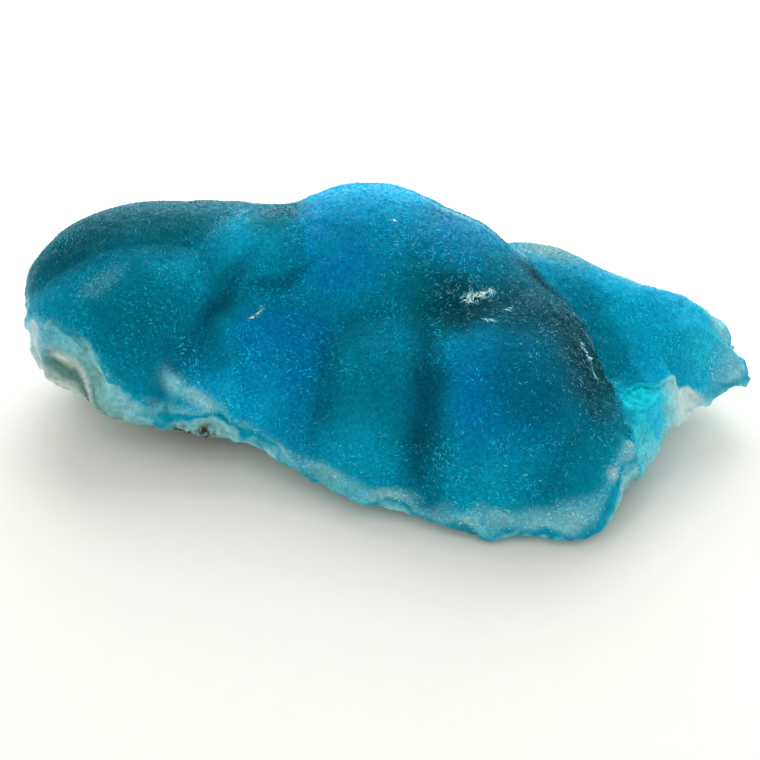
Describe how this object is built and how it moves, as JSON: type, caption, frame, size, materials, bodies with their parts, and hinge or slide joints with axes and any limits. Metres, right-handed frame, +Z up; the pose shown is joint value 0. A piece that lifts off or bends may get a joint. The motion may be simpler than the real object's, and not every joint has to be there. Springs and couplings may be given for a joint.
{
  "type": "hemimorphite specimen",
  "caption": "Rough natural piece of blue botryoidal hemimorphite with a lobed face, a broken rim and a thin wing, lying on its flat underside.",
  "frame": {"origin": "centre of the bounding box in plan, on the plane the piece rests on", "axes": "+X along the piece towards its wing, -Y towards the side that the lobed face looks to, +Z up"},
  "size_m": [0.058, 0.0296, 0.0167],
  "materials": {
    "blue_hemimorphite": "translucent blue-teal crystalline crust with a fine druse, pale where it is thin or broken"
  },
  "bodies": {
    "root": {"hemimorphite_stone": "blue_hemimorphite"}
  },
  "joints": []
}
